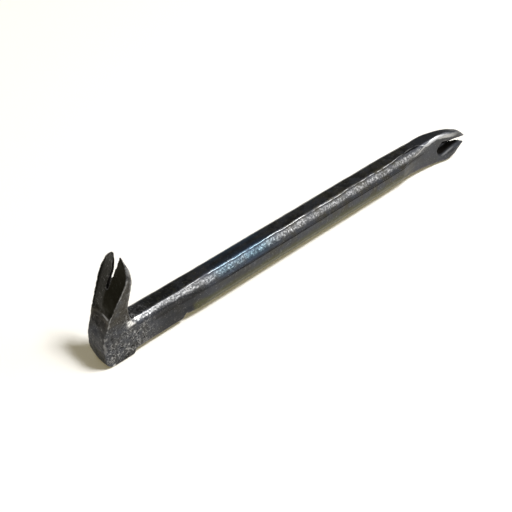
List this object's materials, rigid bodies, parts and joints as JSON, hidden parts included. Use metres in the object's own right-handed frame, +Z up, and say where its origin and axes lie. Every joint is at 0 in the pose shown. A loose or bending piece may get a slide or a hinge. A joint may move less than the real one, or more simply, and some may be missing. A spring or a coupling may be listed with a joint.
{
  "type": "cat's paw nail puller",
  "caption": "Forged steel double-ended nail puller: octagon bar with an upturned slotted hook claw over a flat striking heel, and an offset straight claw at the other end.",
  "frame": {"origin": "centre of the heel's flat striking face, under the hook", "axes": "+X along the octagon bar from the heel to the straight claw, +Z up the hook, -Y the side that the straight claw swings out to"},
  "size_m": [0.3029, 0.0212, 0.064],
  "materials": {
    "forged_steel": "black forge oxide over hardened steel, worn bright along the edges and the struck heel"
  },
  "bodies": {
    "root": {"claw_bar": "forged_steel"}
  },
  "joints": []
}
